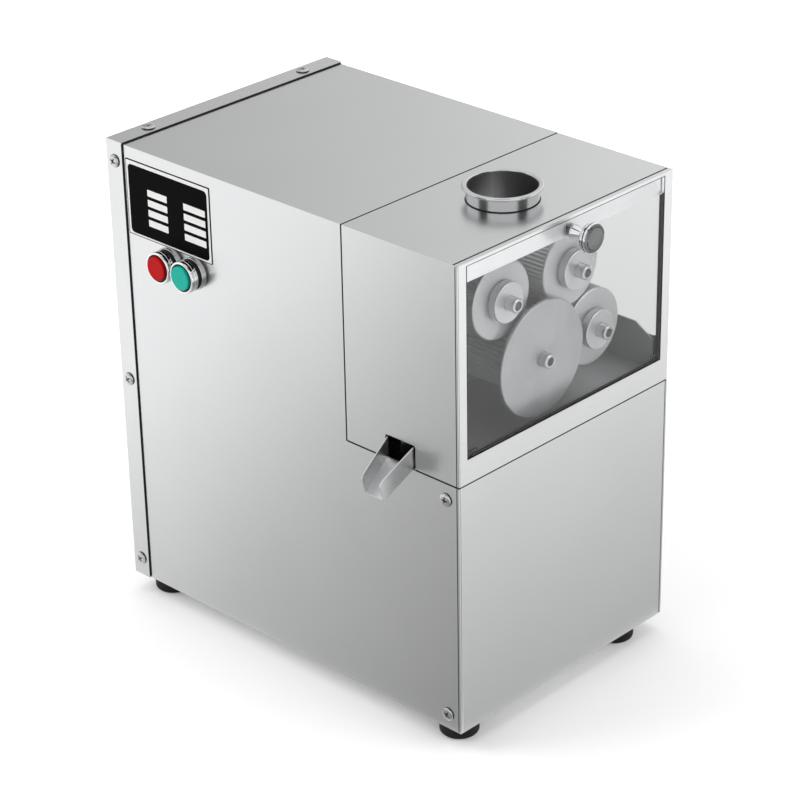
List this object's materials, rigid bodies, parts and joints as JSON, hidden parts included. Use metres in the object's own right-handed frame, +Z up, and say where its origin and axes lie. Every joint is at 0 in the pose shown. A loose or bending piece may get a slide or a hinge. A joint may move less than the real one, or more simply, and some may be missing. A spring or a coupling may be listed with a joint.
{
  "type": "electric sugarcane juicer",
  "caption": "Countertop sugarcane juicer: steel cabinet, lift-off head with tilting clear window, geared fluted rollers, cane feed tube, juice tray with side spout, push buttons.",
  "frame": {"origin": "middle of the whole object's footprint, on the surface that the feet stand on", "axes": "+X to the right seen from the front, +Y from the front window to the rear cover, +Z up"},
  "size_m": [0.2984, 0.4412, 0.4502],
  "materials": {
    "brushed_sheet": "fine brushed stainless sheet",
    "frame_sheet": "satin stainless",
    "tray_sheet": "dull stainless sheet",
    "bright_chrome": "polished",
    "zinc_fastener": "plain bright fastener",
    "roller_steel": "fluted, matte",
    "turned_steel": "turned, satin",
    "gear_steel": "machined, oiled",
    "plate_iron": "machined plate",
    "black_rubber": "moulded",
    "black_plastic": "moulded",
    "red_plastic": "moulded",
    "green_plastic": "moulded",
    "clear_acrylic": "clear polished sheet",
    "motor_paint": "satin paint",
    "bare_aluminium": "drawn can",
    "plate_enamel": "printed plate, left without words"
  },
  "bodies": {
    "cabinet": {"base_plate": "brushed_sheet", "casing": "brushed_sheet", "front_panel": "brushed_sheet", "rear_cover": "brushed_sheet", "deck_plate": "tray_sheet", "feet": "black_rubber", "foot_screws": "zinc_fastener", "case_screws": "zinc_fastener", "nameplate": "plate_enamel", "button_bezels": "bright_chrome", "button_collars": "black_plastic", "button_base_rings": "zinc_fastener", "contact_blocks": "black_plastic", "front_bearing_plate": "plate_iron", "rear_bearing_plate": "plate_iron", "tie_rods": "zinc_fastener", "frame_nuts": "zinc_fastener", "splash_plate": "brushed_sheet", "shaft_seals": "black_rubber", "front_bearings": "turned_steel", "rear_bearings": "turned_steel", "motor_bracket": "motor_paint", "gearhead": "motor_paint", "motor": "motor_paint", "fan_cover": "black_plastic", "capacitor": "bare_aluminium", "control_box": "black_plastic", "cable_gland": "black_plastic", "juice_tray": "tray_sheet", "juice_spout": "brushed_sheet"},
    "main_roller": {"main_shaft": "turned_steel", "main_sleeve": "roller_steel", "main_collar": "turned_steel", "main_gear_left": "gear_steel", "main_gear_centre": "gear_steel", "main_gear_right": "gear_steel", "bull_gear": "gear_steel"},
    "left_roller": {"left_shaft": "turned_steel", "left_sleeve": "roller_steel", "left_collar": "turned_steel", "left_gear": "gear_steel"},
    "centre_roller": {"centre_shaft": "turned_steel", "centre_sleeve": "roller_steel", "centre_disc": "turned_steel", "centre_gear": "gear_steel"},
    "right_roller": {"right_shaft": "turned_steel", "right_sleeve": "roller_steel", "right_collar": "turned_steel", "right_gear": "gear_steel"},
    "pinion": {"drive_pinion": "gear_steel"},
    "stop_switch": {"stop_button": "red_plastic"},
    "start_switch": {"start_button": "green_plastic"},
    "head_cover": {"hood": "brushed_sheet", "front_frame": "frame_sheet", "feed_tube": "bright_chrome"},
    "window_door": {"window": "clear_acrylic", "knob": "bright_chrome", "knob_nut": "zinc_fastener", "pivot_pins": "zinc_fastener"}
  },
  "joints": [
    {"name": "main_spin", "type": "hinge", "parent": "cabinet", "child": "main_roller", "pos_m": [0.0465, -0.13737, 0.376], "axis": [0, 1, 0], "continuous": true},
    {"name": "left_spin", "type": "hinge", "parent": "cabinet", "child": "left_roller", "pos_m": [-0.0375, -0.13737, 0.376], "axis": [0, 1, 0], "continuous": true},
    {"name": "centre_spin", "type": "hinge", "parent": "cabinet", "child": "centre_roller", "pos_m": [0.00179, -0.13737, 0.31331], "axis": [0, 1, 0], "continuous": true},
    {"name": "right_spin", "type": "hinge", "parent": "cabinet", "child": "right_roller", "pos_m": [0.07457, -0.13737, 0.31296], "axis": [0, 1, 0], "continuous": true},
    {"name": "pinion_spin", "type": "hinge", "parent": "cabinet", "child": "pinion", "pos_m": [0.02541, -0.13737, 0.30246], "axis": [0, 1, 0], "continuous": true},
    {"name": "stop_push", "type": "slide", "parent": "cabinet", "child": "stop_switch", "axis": [1, 0, 0], "range_m": [0, 0.004], "stiffness_N_per_m": 900, "springref_m": -0.003},
    {"name": "start_push", "type": "slide", "parent": "cabinet", "child": "start_switch", "axis": [1, 0, 0], "range_m": [0, 0.004], "stiffness_N_per_m": 900, "springref_m": -0.003},
    {"name": "head_cover_lift", "type": "slide", "parent": "cabinet", "child": "head_cover", "axis": [0, 0, 1], "range_m": [0, 0.2]},
    {"name": "window_tilt", "type": "hinge", "parent": "head_cover", "child": "window_door", "pos_m": [0.0153, -0.19487, 0.2734], "axis": [1, 0, 0], "range_deg": [0, 95]}
  ],
  "couplings": [
    {"joint": "left_spin", "follows": "main_spin", "ratio": -1},
    {"joint": "centre_spin", "follows": "main_spin", "ratio": -1},
    {"joint": "right_spin", "follows": "main_spin", "ratio": -1},
    {"joint": "pinion_spin", "follows": "main_spin", "ratio": -2}
  ]
}
